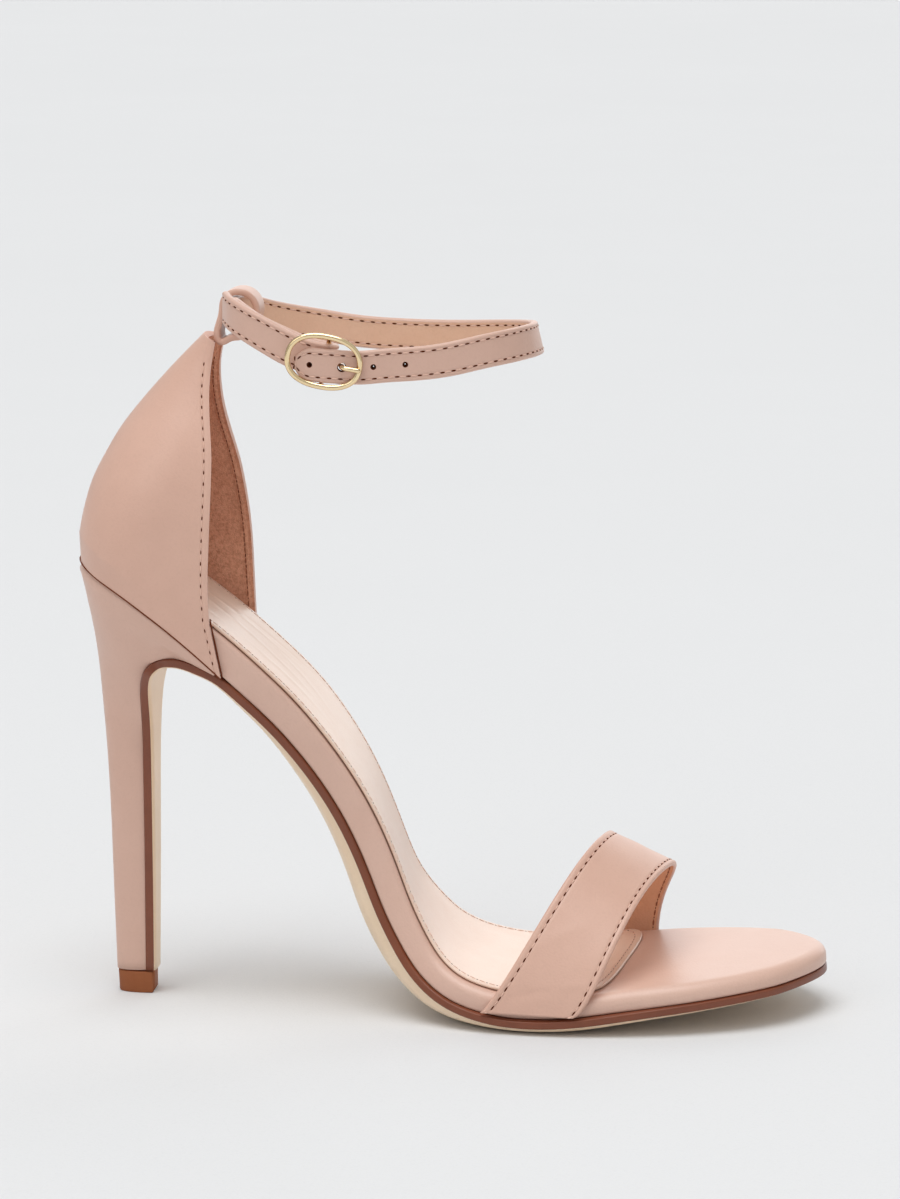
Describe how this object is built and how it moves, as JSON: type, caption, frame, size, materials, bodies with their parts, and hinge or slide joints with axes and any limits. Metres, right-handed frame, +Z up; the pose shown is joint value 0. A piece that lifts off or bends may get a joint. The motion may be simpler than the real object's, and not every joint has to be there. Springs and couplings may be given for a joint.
{
  "type": "strappy heeled sandal",
  "caption": "Right women's sandal with a slim high heel, closed back counter, pull tab, buckled ankle strap, one arched toe strap, padded wrapped footbed and a thin domed outsole.",
  "frame": {"origin": "centre of the ground face of the top lift, on the floor the shoe stands on", "axes": "+X to the toe along the shoe, +Z up, +Y to the medial side, so the buckled lateral side faces -Y"},
  "size_m": [0.205, 0.0777, 0.1962],
  "materials": {
    "sole_unit": "smooth tan sole with a darker brown edge",
    "blush_leather": "smooth blush leather, soft sheen",
    "sock_lining": "pale smooth lining",
    "lift_rubber": "brown, matt",
    "gold_metal": "polished pale gold"
  },
  "bodies": {
    "root": {"outsole": "sole_unit", "footbed": "blush_leather", "sock": "sock_lining", "heel": "blush_leather", "top_lift": "lift_rubber", "counter": "blush_leather", "tab_loop": "blush_leather", "toe_strap": "blush_leather", "ankle_strap": "blush_leather", "buckle_frame": "gold_metal", "buckle_prong": "gold_metal"}
  },
  "joints": []
}
